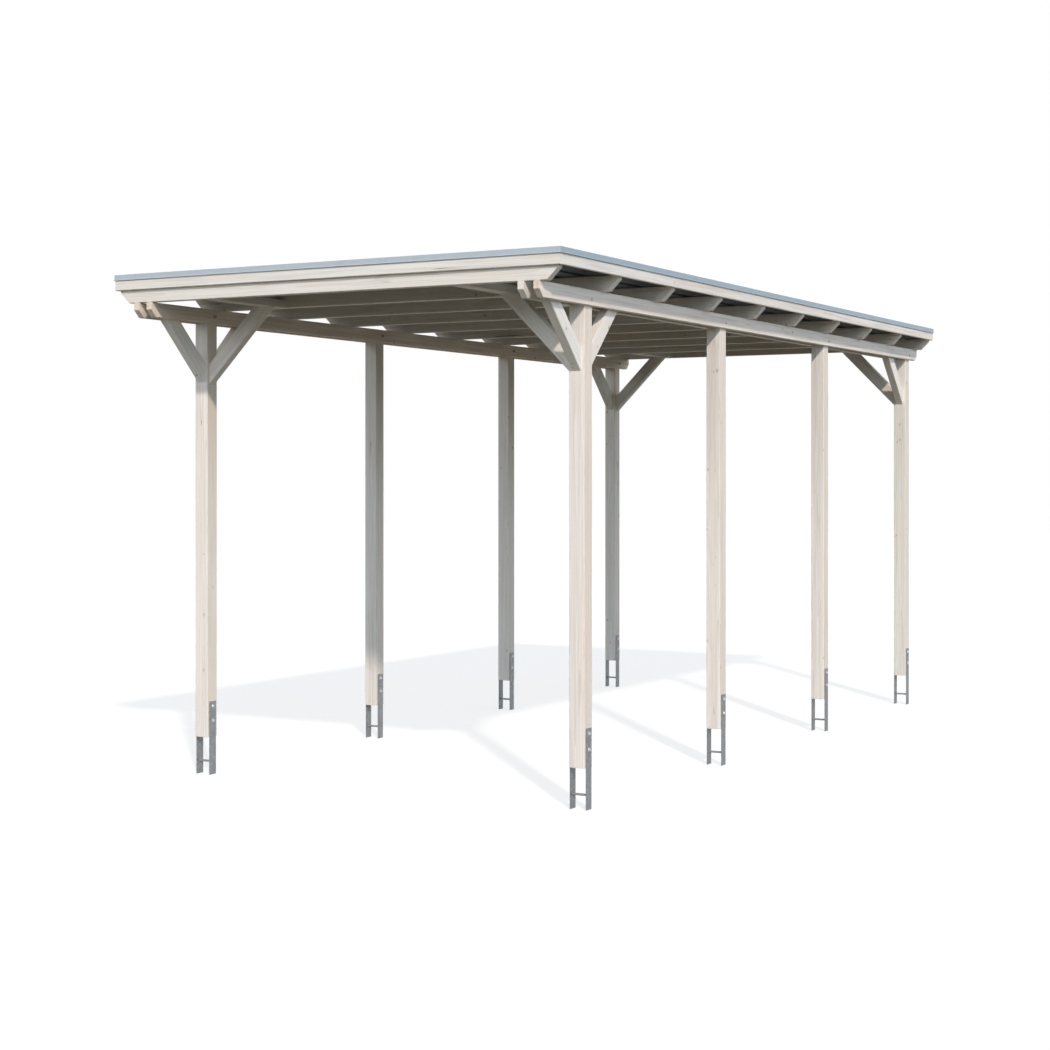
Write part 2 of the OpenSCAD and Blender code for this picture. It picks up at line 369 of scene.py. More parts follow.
def late_wood(tree, x, y, place, drawn, halo):
    """Year rings about a pith near one face or beyond it, pushed aside by the knots."""
    off_x = minus(tree, x, times_plus(tree, drawn[0], *PITH_X_RANGE))
    off_y = minus(tree, y, times_plus(tree, drawn[1], *PITH_Y_RANGE))
    radius = math_node(tree, "SQRT", times_plus(tree, off_x, off_x, times(tree, off_y, off_y)))
    radius = times_plus(tree, grain_noise(tree, place, *RING_GRAIN), RING_WANDER_M, radius)
    radius = times_plus(tree, halo, RING_BEND_M, radius)
    ring = math_node(tree, "FRACT", math_node(tree, "DIVIDE", radius, RING_M))
    rise = math_node(tree, "POWER", ring, LATE_WOOD_RISE)
    return times(tree, rise, smooth(tree, ring, *LATE_WOOD_STEP))


def drying_checks(tree, place):
    """A few fine cracks that open here and there along the grain."""
    off_line = math_node(tree, "ABSOLUTE", off_middle(tree, grain_noise(tree, place, *CHECK_GRAIN)))
    opened = smooth(tree, grain_noise(tree, place, *CHECK_PLACE_GRAIN), *CHECK_PLACE_STEP)
    return times(tree, smooth(tree, off_line, *CHECK_LINE_STEP), opened)


def glue_lines(tree, lamella_at, lamella):
    """Thin lines where the lamellae of a post meet."""
    from_one = math_node(tree, "FRACT", lamella_at)
    to_line = math_node(tree, "MINIMUM", from_one, minus(tree, 1.0, from_one))
    return smooth(tree, times(tree, to_line, lamella), *GLUE_LINE_STEP)


def worn_arrises(tree, x, y, place, half_x, half_y):
    """Scuffs along the arrises of the section."""
    edge_x = minus(tree, half_x, math_node(tree, "ABSOLUTE", x))
    edge_y = minus(tree, half_y, math_node(tree, "ABSOLUTE", y))
    to_arris = math_node(tree, "MAXIMUM", edge_x, edge_y)
    scuffs = smooth(tree, grain_noise(tree, place, *SCUFF_GRAIN), *SCUFF_STEP)
    return times(tree, smooth(tree, to_arris, *WORN_ARRIS_STEP), scuffs)


def glaze_cover(tree, place, streak, effects, given):
    """How well the glaze covers: less in streaks and on late wood, knots, end grain and worn arrises."""
    streaks = times(tree, given["Figure"], STREAK_COVER)
    cover = times_plus(tree, off_middle(tree, streak), streaks, GLAZE_COVER)
    cover = times_plus(tree, grain_noise(tree, place, *PATCH_GRAIN), PATCH_COVER, cover)
    cover = minus(tree, cover, given["Bareness And Shade"])
    for effect, loss in GLAZE_LOSS.items():
        cover = times_plus(tree, effects[effect], -loss, cover)
    return times_plus(tree, off_middle(tree, effects["fibre"]), FIBRE_COVER, cover, clamp=True)


def glazed_colour(tree, place, drawn, cover, effects, tone):
    """The wood that shows through the glaze, darker in bands, checks and the rims of knots."""
    wood = mix_colour(tree, effects["late wood"], EARLY_WOOD, LATE_WOOD)
    wood = mix_colour(tree, effects["knot"], wood, KNOT_WOOD)
    warmth = times_plus(tree, grain_noise(tree, place, *HUE_GRAIN), *HUE_RANGE)
    warmth = times_plus(tree, drawn[2], LAMELLA_HUE, warmth, clamp=True)
    colour = mix_colour(tree, cover, wood, mix_colour(tree, warmth, GLAZE_COOL, GLAZE_WARM))
    tone = times(tree, tone, times_plus(tree, drawn[0], *LAMELLA_TONE_RANGE))
    for effect, loss in TONE_LOSS.items():
        tone = times(tree, tone, times_plus(tree, effects[effect], -loss, 1.0))
    return darkened(tree, colour, tone)


def make_spruce_group():
    """Spruce under a thin white glaze, in member coordinates with the grain along Z."""
    tree, given, out = new_group(
        "glazed_spruce",
        {
            "Vector": ("NodeSocketVector", (0, 0, 0)),
            "End Grain": ("NodeSocketFloat", 0.0),
            "Side Face": ("NodeSocketFloat", 0.0),
            "Seed": ("NodeSocketFloat", 0.0),
            "Tone": ("NodeSocketFloat", 1.0),
            "Bareness And Shade": ("NodeSocketFloat", 0.0),
            "Figure": ("NodeSocketFloat", 1.0),
            "Lamella": ("NodeSocketFloat", SOLID_TIMBER),
            "Half X": ("NodeSocketFloat", 0.05),
            "Half Y": ("NodeSocketFloat", 0.05),
        },
        {"Color": "NodeSocketColor", "Roughness": "NodeSocketFloat", "Height": "NodeSocketFloat"},
    )
    x, y, _ = split(tree, "XYZ", given["Vector"])
    lamella_at = math_node(tree, "ADD", math_node(tree, "DIVIDE", x, given["Lamella"]), 0.5)
    drawn, place = place_in_log(tree, given["Vector"], lamella_at, given["Seed"])
    knot, rim, halo = branch_knots(tree, place, given["Side Face"])
    streak = grain_noise(tree, place, *STREAK_GRAIN)
    band = smooth(tree, grain_noise(tree, place, *BAND_GRAIN), *BAND_STEP)
    effects = {
        "knot": knot,
        "knot rim": rim,
        "knot halo": halo,
        "late wood": late_wood(tree, x, y, place, drawn, halo),
        "band": times(tree, band, given["Figure"]),
        "fibre": grain_noise(tree, place, *FIBRE_GRAIN),
        "check": drying_checks(tree, place),
        "glue line": glue_lines(tree, lamella_at, given["Lamella"]),
        "worn arris": worn_arrises(tree, x, y, place, given["Half X"], given["Half Y"]),
        "end grain": given["End Grain"],
    }
    cover = glaze_cover(tree, place, streak, effects, given)
    wire(tree, glazed_colour(tree, place, drawn, cover, effects, given["Tone"]), out["Color"])
    rough = times_plus(tree, streak, *STREAK_ROUGH_RANGE)
    wire(tree, times_plus(tree, given["End Grain"], END_GRAIN_ROUGH, rough), out["Roughness"])
    height = times(tree, effects["late wood"], LATE_WOOD_LIFT)
    for effect, lift in LIFT.items():
        height = times_plus(tree, effects[effect], lift, height)
    wire(tree, height, out["Height"])
    return tree


spruce_group = make_spruce_group()

# Turns that put a member's grain, its local Z, along an axis
ALONG_X, ALONG_Y, ALONG_Z = range(3)
TURN_TO = {
    ALONG_X: Euler((0, math.pi / 2, 0)),
    ALONG_Y: Euler((-math.pi / 2, 0, 0)),
    ALONG_Z: Euler((0, 0, 0)),
}

# Timbers that differ from the rest: tone, how much less glaze covers them, strength of the streaks. Part
# of these tones and glaze losses is painted light and shade: they make some timbers lighter or darker than
# the light on them gives.
PLAIN_TINT = (1.0, 0.0, 1.0)
TIMBER_TINT_AND_PAINTED_LIGHT = {
    "right_fascia": (0.91, 0.05, 2.0),
    "front_fascia": (1.01, 0.03, 1.6),
    "front_rafter": (0.95, 0.05, 0.45),
    "right_outer_beam": (0.99, 0.15, 1.9),
    "left_inner_beam": (1.08, 0.27, 1.7),
    "left_outer_beam": (1.08, 0.27, 1.7),
    "rafter_6": (1.0, 0.04, 1.8),
    "rafter_7": (1.0, 0.07, 1.8),
    "rafter_8": (1.0, 0.09, 1.8),
    "rafter_9": (1.0, 0.11, 2.0),
    "back_rafter": (0.99, 0.13, 2.0),
    # Painted shade: the back-left post and braces are made darker.
    "back_left_post": (0.97, 0.0, 1.0),
    "back_left_forward_brace": (0.96, 0.0, 1.0),
    "back_left_inward_brace": (0.86, 0.0, 1.0),
    # Painted light: the front-left braces and the front-right inward brace are made lighter where bounced
    # light reaches them.
    "front_left_forward_brace": (1.08, 0.0, 1.0),
    "front_left_inward_brace": (1.02, 0.0, 1.0),
    "front_right_inward_brace": (1.08, 0.0, 1.0),
    "front_right_backward_brace": (0.97, 0.02, 1.0),
}
SEED_SPREAD = 500


def timber_material(name, centre, turn, half_x, half_y, lamella=SOLID_TIMBER, tint=PLAIN_TINT):
    """Glazed spruce for one member: its middle, its turn from upright, its half section."""
    material, tree, shader = new_material(name)
    where = add(tree, "ShaderNodeTexCoord", (-900, 0))
    member = add(tree, "ShaderNodeMapping", (-700, 0), vector_type="TEXTURE")
    member.inputs["Location"].default_value = centre
    member.inputs["Rotation"].default_value = turn
    wire(tree, where.outputs["Object"], member.inputs["Vector"])
    section_x, _, grain = turn.to_matrix().col
    facing_end, facing_side = (
        math_node(tree, "ABSOLUTE", vector_math(tree, "DOT_PRODUCT", where.outputs["Normal"], way))
        for way in (grain, section_x)
    )
    group = add(tree, "ShaderNodeGroup", (-200, 0), node_tree=spruce_group)
    wire(tree, member.outputs[0], group.inputs["Vector"])
    wire(tree, smooth(tree, facing_end, *END_GRAIN_STEP), group.inputs["End Grain"])
    wire(tree, facing_side, group.inputs["Side Face"])
    for label, value in zip(("Tone", "Bareness And Shade", "Figure"), tint):
        group.inputs[label].default_value = value
    group.inputs["Seed"].default_value = random.uniform(0, SEED_SPREAD)
    group.inputs["Lamella"].default_value = lamella
    group.inputs["Half X"].default_value = half_x
    group.inputs["Half Y"].default_value = half_y
    wire(tree, group.outputs["Color"], shader.inputs["Base Color"])
    wire(tree, group.outputs["Roughness"], shader.inputs["Roughness"])
    shader.inputs["Specular IOR Level"].default_value = WOOD_SPECULAR
    bump_into(tree, shader, group.outputs["Height"], WOOD_BUMP_M)
    return material


def straight_timber(name):
    """Material for a node that is one straight member, read from its box."""
    centre, half = box_of(name)
    axis = max(range(3), key=lambda k: half[k])
    sections = {ALONG_X: (half.z, half.y), ALONG_Y: (half.x, half.z), ALONG_Z: (half.x, half.y)}
    lamella = 2 * half.x / LAMELLAE_PER_POST if name in POSTS else SOLID_TIMBER
    tint = TIMBER_TINT_AND_PAINTED_LIGHT.get(name, PLAIN_TINT)
    return timber_material(name + "_spruce", centre, TURN_TO[axis], *sections[axis], lamella, tint)


# Arrises and corners of the nodes, in metres, radians and steps
TIMBER_ROUND = 0.0015
PLATE_ROUND = 0.0012
ROUND_STEPS = 2
ROUND_FROM_ANGLE = math.radians(25)
FLAT_UP_TO_ANGLE = math.radians(2)
CORNER_GAP = 0.00005
FACE_SLACK = 0.0005


def soften(name, width):
    """Joins a node's split corners, clears flat triangles and rounds the arrises."""
    weld = nodes[name].modifiers.new("weld", "WELD")
    weld.merge_threshold = CORNER_GAP
    flat = nodes[name].modifiers.new("flat", "DECIMATE")
    flat.decimate_type = "DISSOLVE"
    flat.angle_limit = FLAT_UP_TO_ANGLE
    round_off = nodes[name].modifiers.new("round", "BEVEL")
    round_off.width = width
    round_off.segments = ROUND_STEPS
    round_off.limit_method = "ANGLE"
    round_off.angle_limit = ROUND_FROM_ANGLE
    round_off.harden_normals = True


def dress(name, *materials):
    nodes[name].data.materials.clear()
    for material in materials:
        nodes[name].data.materials.append(material)


def dress_straight_timbers():
    for name in POSTS + BEAMS + RAFTERS + FASCIAS:
        dress(name, straight_timber(name))
        soften(name, TIMBER_ROUND)


def brace_ways(name):
    """Middle and half size of a corner post, and each brace's level direction and toe height."""
    row, side = name.split("_")[:2]
    inward = 1 if side == "left" else -1
    post, half = box_of(f"{row}_{side}_post")
    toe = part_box(name)[0].z
    row_toe = toe + ROW_BRACE_UP
    ways = {"forward": (0, -1, row_toe), "backward": (0, 1, row_toe), "inward": (inward, 0, toe)}
    return post, half, ways


def dress_braces():
    """Each brace of a corner post gets its own grain, along its slope."""
    for name in BRACES:
        post, half, ways = brace_ways(name)
        low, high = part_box(name)
        reach = (high.z - low.z) / 2
        made = []
        for way, (ax, ay, toe) in ways.items():
            foot = Vector((post.x + ax * half.x, post.y + ay * half.y, toe))
            middle = foot + Vector((ax * reach, ay * reach, reach + BRACE_H * math.sqrt(0.5)))
            turn = Euler((-ay * math.pi / 4, ax * math.pi / 4, 0))
            section = (BRACE_H / 2, BRACE_T / 2) if ax else (BRACE_T / 2, BRACE_H / 2)
            brace = name.replace("braces", f"{way}_brace")
            tint = TIMBER_TINT_AND_PAINTED_LIGHT.get(brace, PLAIN_TINT)
            made.append(timber_material(f"{brace}_spruce", middle, turn, *section, tint=tint))
        dress(name, *made)
        forward, backward, inward = range(3)
        for face in nodes[name].data.polygons:
            offset = face.center - post
            if abs(offset.x) > half.x - FACE_SLACK:
                face.material_index = inward
            else:
                face.material_index = forward if offset.y < 0 else backward
        soften(name, TIMBER_ROUND)


def dress_noggins():
    """Rafter timber laid flat between two rafters, its grain along Y."""
    low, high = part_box("brace_noggins")
    rafter_half = box_of("front_rafter")[1]
    centre = (high.x - rafter_half.z, 0, (low.z + high.z) / 2)
    half_h = (high.z - low.z) / 2
    dress("brace_noggins", timber_material("noggin_spruce", centre, TURN_TO[ALONG_Y], high.x, half_h))
    soften("brace_noggins", TIMBER_ROUND)


def dress_battens():
    """The upstand battens behind the fascias: side ones along Y, end ones along X."""
    low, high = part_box("edge_battens")
    centre = (0, 0, (low.z + high.z) / 2)
    side_batten = timber_material("side_batten_spruce", centre, TURN_TO[ALONG_Y], high.x, high.z)
    end_batten = timber_material("end_batten_spruce", centre, TURN_TO[ALONG_X], high.z, high.y)
    dress("edge_battens", side_batten, end_batten)
    for face in nodes["edge_battens"].data.polygons:
        face.material_index = 1 if abs(face.center.x) < high.x - BATTEN_T - FACE_SLACK else 0
    soften("edge_battens", TIMBER_ROUND)


# Zinc: noises as scale, detail and roughness, and what a stain does
ZINC_CLOUD = (9.0, 4.0, 0.6)
ZINC_FINE = (700.0, 2.0)
ZINC_FINE_LIFT = 0.6
STAIN_STEP = (0.45, 0.7)
STAIN_SHARE = 0.5
STAIN_ROUGH = 0.15


def make_spangle_group():
    """Zinc crystals and clouds: a tone, a stain mask and a height for coated sheet and plate."""
    tree, given, out = new_group(
        "zinc_spangle",
        {
            "Vector": ("NodeSocketVector", (0, 0, 0)),
            "Scale": ("NodeSocketFloat", 60.0),
            "Spangle": ("NodeSocketFloat", 0.2),
            "Cloud": ("NodeSocketFloat", 0.3),
        },
        {"Tone": "NodeSocketFloat", "Stain": "NodeSocketFloat", "Height": "NodeSocketFloat"},
    )
    crystals = add(tree, "ShaderNodeTexVoronoi", (-800, 100))
    wire(tree, given["Vector"], crystals.inputs["Vector"])
    wire(tree, given["Scale"], crystals.inputs["Scale"])
    crystal, _, _ = split(tree, "Color", crystals.outputs["Color"])
    cloud = noise(tree, given["Vector"], *ZINC_CLOUD)
    tone = times_plus(tree, off_middle(tree, crystal), given["Spangle"], 1.0)
    wire(tree, times_plus(tree, off_middle(tree, cloud), given["Cloud"], tone), out["Tone"])
    wire(tree, smooth(tree, cloud, *STAIN_STEP), out["Stain"])
    fine = noise(tree, given["Vector"], *ZINC_FINE)
    wire(tree, times_plus(tree, fine, ZINC_FINE_LIFT, cloud), out["Height"])
    return tree


spangle_group = make_spangle_group()


def metal_material(name, colour, stain, metallic, rough, scale, spangle, cloud, bump, specular=0.5):
    """Metal with a spangled or clouded tone, dulled where it is stained."""
    material, tree, shader = new_material(name)
    where = add(tree, "ShaderNodeTexCoord", (-900, 0))
    group = add(tree, "ShaderNodeGroup", (-500, 0), node_tree=spangle_group)
    wire(tree, where.outputs["Object"], group.inputs["Vector"])
    group.inputs["Scale"].default_value = scale
    group.inputs["Spangle"].default_value = spangle
    group.inputs["Cloud"].default_value = cloud
    stained = group.outputs["Stain"]
    base = mix_colour(tree, times(tree, stained, STAIN_SHARE), colour, stain)
    wire(tree, darkened(tree, base, group.outputs["Tone"]), shader.inputs["Base Color"])
    wire(tree, times_plus(tree, stained, STAIN_ROUGH, rough), shader.inputs["Roughness"])
    shader.inputs["Metallic"].default_value = metallic
    shader.inputs["Specular IOR Level"].default_value = specular
    bump_into(tree, shader, group.outputs["Height"], bump)
    return material


# Metal finishes, as linear colours: clean, then stained
PLATE = dict(metallic=0.4, rough=0.45, scale=75.0, spangle=0.30, cloud=1.0, bump=0.0002)
ROD = dict(metallic=0.4, rough=0.40, scale=150.0, spangle=0.15, cloud=0.3, bump=0.0001)
BRIGHT = dict(metallic=0.6, rough=0.30, scale=240.0, spangle=0.15, cloud=0.3, bump=0.0001)
DULL = dict(metallic=0.1, rough=0.5, scale=300.0, spangle=0.2, cloud=0.3, bump=0.0001, specular=0.2)
CAP = dict(metallic=0.2, rough=0.45, scale=30.0, spangle=0.04, cloud=0.15, bump=0.0006, specular=0.3)
COATING = dict(metallic=0.0, rough=0.5, scale=400.0, spangle=0.10, cloud=0.3, bump=0.0002, specular=0.12)
# The anchor plates are one zinc. The left row's, in shade, is painted lighter, and the right row's, whose
# outer faces take the sun, is painted darker: painted light and shade.
plate_finish_painted_by_row = {
    "left": metal_material("left_plate_zinc_painted_lighter", (0.278, 0.291, 0.302, 1), (0.19, 0.20, 0.21, 1), **PLATE),
    "right": metal_material("right_plate_zinc_painted_darker", (0.236, 0.249, 0.257, 1), (0.16, 0.17, 0.18, 1), **PLATE),
}
rod_finish = metal_material("rod_zinc", (0.31, 0.325, 0.335, 1), (0.24, 0.25, 0.26, 1), **ROD)
bright_zinc = metal_material("bright_zinc", (0.66, 0.67, 0.68, 1), (0.53, 0.54, 0.55, 1), **BRIGHT)
# The bolt heads are the dull zinc painted lighter: painted light on heads that stand in shade.
bolt_head_zinc_painted_lighter = metal_material("bolt_head_zinc_painted_lighter", (0.51, 0.49, 0.46, 1), (0.40, 0.38, 0.35, 1), **DULL)
dull_zinc = metal_material("dull_zinc", (0.40, 0.38, 0.35, 1), (0.30, 0.28, 0.25, 1), **DULL)
# The caps are one metal: the end caps' colour is painted lighter and the side caps' darker, as painted
# light and shade.
end_cap_finish_painted_lighter = metal_material("end_cap_zinc_painted_lighter", (0.445, 0.500, 0.555, 1), (0.43, 0.485, 0.54, 1), **CAP)
side_cap_finish_painted_darker = metal_material("side_cap_zinc_painted_darker", (0.322, 0.398, 0.460, 1), (0.312, 0.388, 0.45, 1), **CAP)
sheet_finish = metal_material(
    "roof_sheet_coating", (0.032, 0.035, 0.036, 1), (0.040, 0.042, 0.042, 1), **COATING
)

# Share of an anchor's half width inside which only its rod lies
ROD_SHARE = 0.8


def dress_metalwork():
    for name in ANCHORS:
        middle, half = box_of(name)
        dress(name, plate_finish_painted_by_row[name.split("_")[1]], rod_finish)
        for face in nodes[name].data.polygons:
            face.material_index = 1 if abs(face.center.x - middle.x) < ROD_SHARE * half.x else 0
        soften(name, PLATE_ROUND)
    dress("end_edge_caps", end_cap_finish_painted_lighter)
    dress("side_edge_caps", side_cap_finish_painted_darker)
    for name in SHEETS:
        dress(name, sheet_finish)


dress_straight_timbers()
dress_braces()
dress_noggins()
dress_battens()
dress_metalwork()

# Fixings in metres: radius or width across flats, then thickness or height
ANCHOR_WASHER = (0.0135, 0.0022)
ANCHOR_SCREW_HEAD = (0.018, 0.0072)
BOLT_DOME = (0.0105, 0.0058)
NUT_WASHER = (0.0125, 0.0025)
NUT = (0.017, 0.009)
BOLT_THREAD = (0.005, 0.007)
SHEET_WASHER = (0.008, 0.0024)
SHEET_SCREW_HEAD = (0.008, 0.0052)
BRACE_SCREW_R = 0.0078
BRACE_SCREW_UP = 0.052
BOLT_OFF_MIDDLE = {"left": Vector((0, 0, 0)), "right": Vector((0, 0.008, -0.011))}
THREAD_PITCH = 0.00175

# Their forms: shares of a thickness, height or radius, angles in radians, counts of sides
WASHER_CHAMFER = 0.4
HEXAGON_CHAMFER = 0.14
HEXAGON_TOP = 0.87
THREAD_ROOT = 0.88
THREAD_TIP = 0.82
DOME_ANGLES = (0, 0.35, 0.7, 1.05, 1.35)
ROUND_SIDES = 24
HEXAGON_SIDES = 6
THREAD_SIDES = 16

# The disc head with its sunk drive: share of its radius, height in metres
DISC_HEAD = ((0, 0), (1, 0), (1, 0.0012), (0.78, 0.0032), (0.34, 0.0036), (0.31, 0.0008), (0, 0.0008))

# The weld bead in metres: out from the rod, away from the plate
WELD_BEAD = ((0.0055, 0), (0.0042, 0.0024), (0.0018, 0.0048), (0, 0.0068))
WELD_SIDES = 20
WELD_UNEVEN = 0.0005

# The caps' drip fold in metres: out from the cap, up from the foot of its leg
DRIP_FOLD = ((0.0, 0.0015), (0.0055, -0.0045), (0.0047, -0.0055), (-0.001, 0.0))


def facing_out(place, outward, turn=0.0):
    """Placement on a face, its Z pointing outward."""
    lean = outward.to_track_quat("Z", "Y").to_matrix().to_4x4()
    return Matrix.Translation(place) @ lean @ Matrix.Rotation(turn, 4, "Z")


def any_turn():
    return random.uniform(0, math.pi)


def turned(bm, placement, sides, profile):
    """A turned form from (radius, height) pairs about the placement's Z; a radius of 0 closes an end."""
    rings = []
    for radius, height in profile:
        steps = sides if radius > 0 else 1
        ring = []
        for k in range(steps):
            angle = 2 * math.pi * k / sides
            point = Vector((radius * math.cos(angle), radius * math.sin(angle), height))
            ring.append(bm.verts.new(placement @ point))
        rings.append(ring)
    for lower, upper in zip(rings, rings[1:]):
        for k in range(sides):
            after = (k + 1) % sides
            corners = (lower[k % len(lower)], lower[after % len(lower)],
                       upper[after % len(upper)], upper[k % len(upper)])
            bm.faces.new(list(dict.fromkeys(corners)))


def add_washer(bm, placement, radius, thick):
    """A washer with a chamfered rim."""
    chamfer = WASHER_CHAMFER * thick
    rim = [(radius, 0), (radius, thick - chamfer), (radius - chamfer, thick)]
    turned(bm, placement, ROUND_SIDES, [(0, 0)] + rim + [(0, thick)])


def add_hexagon(bm, placement, across_flats, base, height):
    """A hexagon head or nut with a chamfered top."""
    corner = across_flats / math.sqrt(3)
    top = base + height
    side = [(corner, base), (corner, top - HEXAGON_CHAMFER * height), (HEXAGON_TOP * corner, top)]
    turned(bm, placement, HEXAGON_SIDES, [(0, base)] + side + [(0, top)])


def add_hexagon_on_washer(bm, placement, washer, hexagon):
    """A washer and the hexagon head or nut on it."""
    across_flats, height = hexagon
    add_washer(bm, placement, *washer)
    add_hexagon(bm, placement, across_flats, washer[1], height)


def add_dome(bm, placement, radius, height):
    """A mushroom head."""
    arc = [(radius * math.cos(a), height * math.sin(a)) for a in DOME_ANGLES]
    turned(bm, placement, ROUND_SIDES, [(0, 0)] + arc + [(0, height)])


def add_thread(bm, placement, radius, base, height):
    """A threaded end, its ridges as turned grooves."""
    profile = [(0, base)]
    for k in range(int(height / THREAD_PITCH)):
        profile.append((THREAD_ROOT * radius, base + k * THREAD_PITCH))
        profile.append((radius, base + (k + 0.5) * THREAD_PITCH))
    profile.append((THREAD_TIP * radius, base + height))
    profile.append((0, base + height))
    turned(bm, placement, THREAD_SIDES, profile)


def add_disc_screw(bm, placement, radius):
    """A flat disc head with a sunk drive."""
    turned(bm, placement, ROUND_SIDES, [(share * radius, height) for share, height in DISC_HEAD])


def new_piece(name, bm, slot, *materials):
    """Makes a piece from the mesh and lets it ride with the carport."""
    mesh = bpy.data.meshes.new(name)
    bm.to_mesh(mesh)
    bm.free()
    for material in materials:
        mesh.materials.append(material)
    piece = bpy.data.objects.new(name, mesh)
    scene.collection.objects.link(piece)
    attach(piece, "root")


def make_anchor_screws():
    """Two coach screws through each anchor plate into the post."""
    bm = bmesh.new()
    for name in ANCHORS:
        low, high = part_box(name)
        for face_x, outward in ((low.x, Vector((-1, 0, 0))), (high.x, Vector((1, 0, 0)))):
            for drop in ANCHOR_HOLES_BELOW_TOP:
                placement = facing_out((face_x, (low.y + high.y) / 2, high.z - drop), outward, any_turn())
                add_hexagon_on_washer(bm, placement, ANCHOR_WASHER, ANCHOR_SCREW_HEAD)
    new_piece("anchor_screws", bm, "galvanised_steel", bright_zinc)


def make_anchor_welds():
    """Fillet beads where each anchor's rod meets its plates."""
    bm = bmesh.new()
    bead = [(ANCHOR_ROD_D / 2 + out, away) for out, away in WELD_BEAD]
    closed_bead = [(0, 0)] + bead + [(0, bead[-1][1])]
    for name in POSTS:
        post, half = box_of(name)
        for way in (-1, 1):
            place = (post.x + way * half.x, post.y, ANCHOR_ROD_Z)
            turned(bm, facing_out(place, Vector((-way, 0, 0))), WELD_SIDES, closed_bead)
    for corner in bm.verts:
        corner.co += Vector(random.uniform(-WELD_UNEVEN, WELD_UNEVEN) for _ in range(3))
    new_piece("anchor_welds", bm, "galvanised_steel", plate_finish_painted_by_row["right"])


def make_beam_bolts():
    """A bolt through both beams and the tongue at every post: dome head outside, nut inside."""
    heads, nuts = bmesh.new(), bmesh.new()
    thread_from = NUT_WASHER[1] + NUT[1]
    for side, outward_x in zip(SIDES, (-1, 1)):
        outer, outer_half = box_of(f"{side}_outer_beam")
        inner, inner_half = box_of(f"{side}_inner_beam")
        outward = Vector((outward_x, 0, 0))
        off = BOLT_OFF_MIDDLE[side]
        for row in ROWS:
            post = box_of(f"{row}_{side}_post")[0]
            head_at = Vector((outer.x + outward_x * outer_half.x, post.y, outer.z)) + off
            add_dome(heads, facing_out(head_at, outward), *BOLT_DOME)
            nut_at = Vector((inner.x - outward_x * inner_half.x, post.y, inner.z)) + off
            placement = facing_out(nut_at, -outward, any_turn())
            add_hexagon_on_washer(nuts, placement, NUT_WASHER, NUT)
            add_thread(nuts, placement, BOLT_THREAD[0], thread_from, BOLT_THREAD[1])
    new_piece("beam_bolt_heads", heads, "galvanised_steel", bolt_head_zinc_painted_lighter)
    new_piece("beam_bolt_nuts", nuts, "galvanised_steel", dull_zinc)


def make_brace_screws():
    """A disc-head screw above the toe of each brace along the row."""
    bm = bmesh.new()
    for name in BRACES:
        post, half, ways = brace_ways(name)
        low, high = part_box(name)
        for _, ay, toe in ways.values():
            place = Vector((post.x, post.y + ay * (half.y + BRACE_SCREW_UP), toe + BRACE_SCREW_UP))
            if ay and low.y < place.y < high.y:
                add_disc_screw(bm, facing_out(place, Vector((0, ay, -1)).normalized()), BRACE_SCREW_R)
    new_piece("brace_screws", bm, "galvanised_steel", dull_zinc)


def make_sheet_screws():
    """Self-drilling screws with sealing washers, in every pan of the sheets over every rafter."""
    bm = bmesh.new()
    left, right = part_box(SHEETS[0])[0].x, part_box(SHEETS[-1])[1].x
    pans = RIBS_PER_SHEET * len(SHEETS)
    up = Vector((0, 0, 1))
    for name in RAFTERS:
        middle, half = box_of(name)
        for k in range(pans):
            x = left + (k + 0.5) * (right - left) / pans
            placement = facing_out((x, middle.y, middle.z + half.z + SHEET_T), up, any_turn())
            add_hexagon_on_washer(bm, placement, SHEET_WASHER, SHEET_SCREW_HEAD)
    new_piece("sheet_screws", bm, "roof_sheet", bright_zinc)


def make_cap_lips():
    """The drip fold along the lower edge of the caps, mitred at the corners."""
    bm = bmesh.new()
    leg_foot = cad_high.z - CAP_LEG_H
    rings = []
    for out, up in DRIP_FOLD:
        half_x, half_y = cad_high.x + out, cad_high.y + out
        corners = ((-half_x, -half_y), (half_x, -half_y), (half_x, half_y), (-half_x, half_y))
        rings.append([bm.verts.new((x, y, leg_foot + up)) for x, y in corners])
    for ring, after in zip(rings, rings[1:] + rings[:1]):
        for k in range(4):
            following = (k + 1) % 4
            face = bm.faces.new((ring[k], after[k], after[following], ring[following]))
            # Front and back folds take the lighter end-cap colour, side folds the darker side-cap colour:
            # painted light and shade.
            face.material_index = k % 2
    bmesh.ops.recalc_face_normals(bm, faces=bm.faces)
    new_piece("edge_cap_lips", bm, "edge_cap", end_cap_finish_painted_lighter, side_cap_finish_painted_darker)


make_anchor_screws()
make_anchor_welds()
make_beam_bolts()
make_brace_screws()
make_sheet_screws()
make_cap_lips()

# Floor and light, as linear colours
FLOOR_HALF = 60.0
FLOOR_SHADE = (0.34, 0.33, 0.31, 1)
FLOOR_GLOW = (0.72, 0.72, 0.72, 1)
FLOOR_BOUNCE = (0.137, 0.1235, 0.089, 1)
HORIZON_FRONT = (0.52, 0.575, 0.58, 1)
HORIZON_RIGHT = (1.05, 1.25, 1.24, 1)
SKY_FRONT = (1.57, 1.71, 1.84, 1)
SKY_RIGHT = (1.43, 1.72, 2.13, 1)
SKY_OVERHEAD = (0.16, 0.20, 0.28, 1)
SKY_SEEN = (1, 1, 1, 1)
SUN_COLOUR = (1.0, 0.925, 0.84)
SUN_STRENGTH = 2.5
SUN_SPREAD = math.radians(2.2)
TO_SUN = Vector((0.873, -1.0, 0.96))

# Where the light of the sky changes, along the X and Z of a direction
FRONT_TO_RIGHT = (-0.2, 0.9)
HORIZON_TO_SKY = (0.04, 0.24)
SKY_TO_OVERHEAD = (0.3, 0.7)


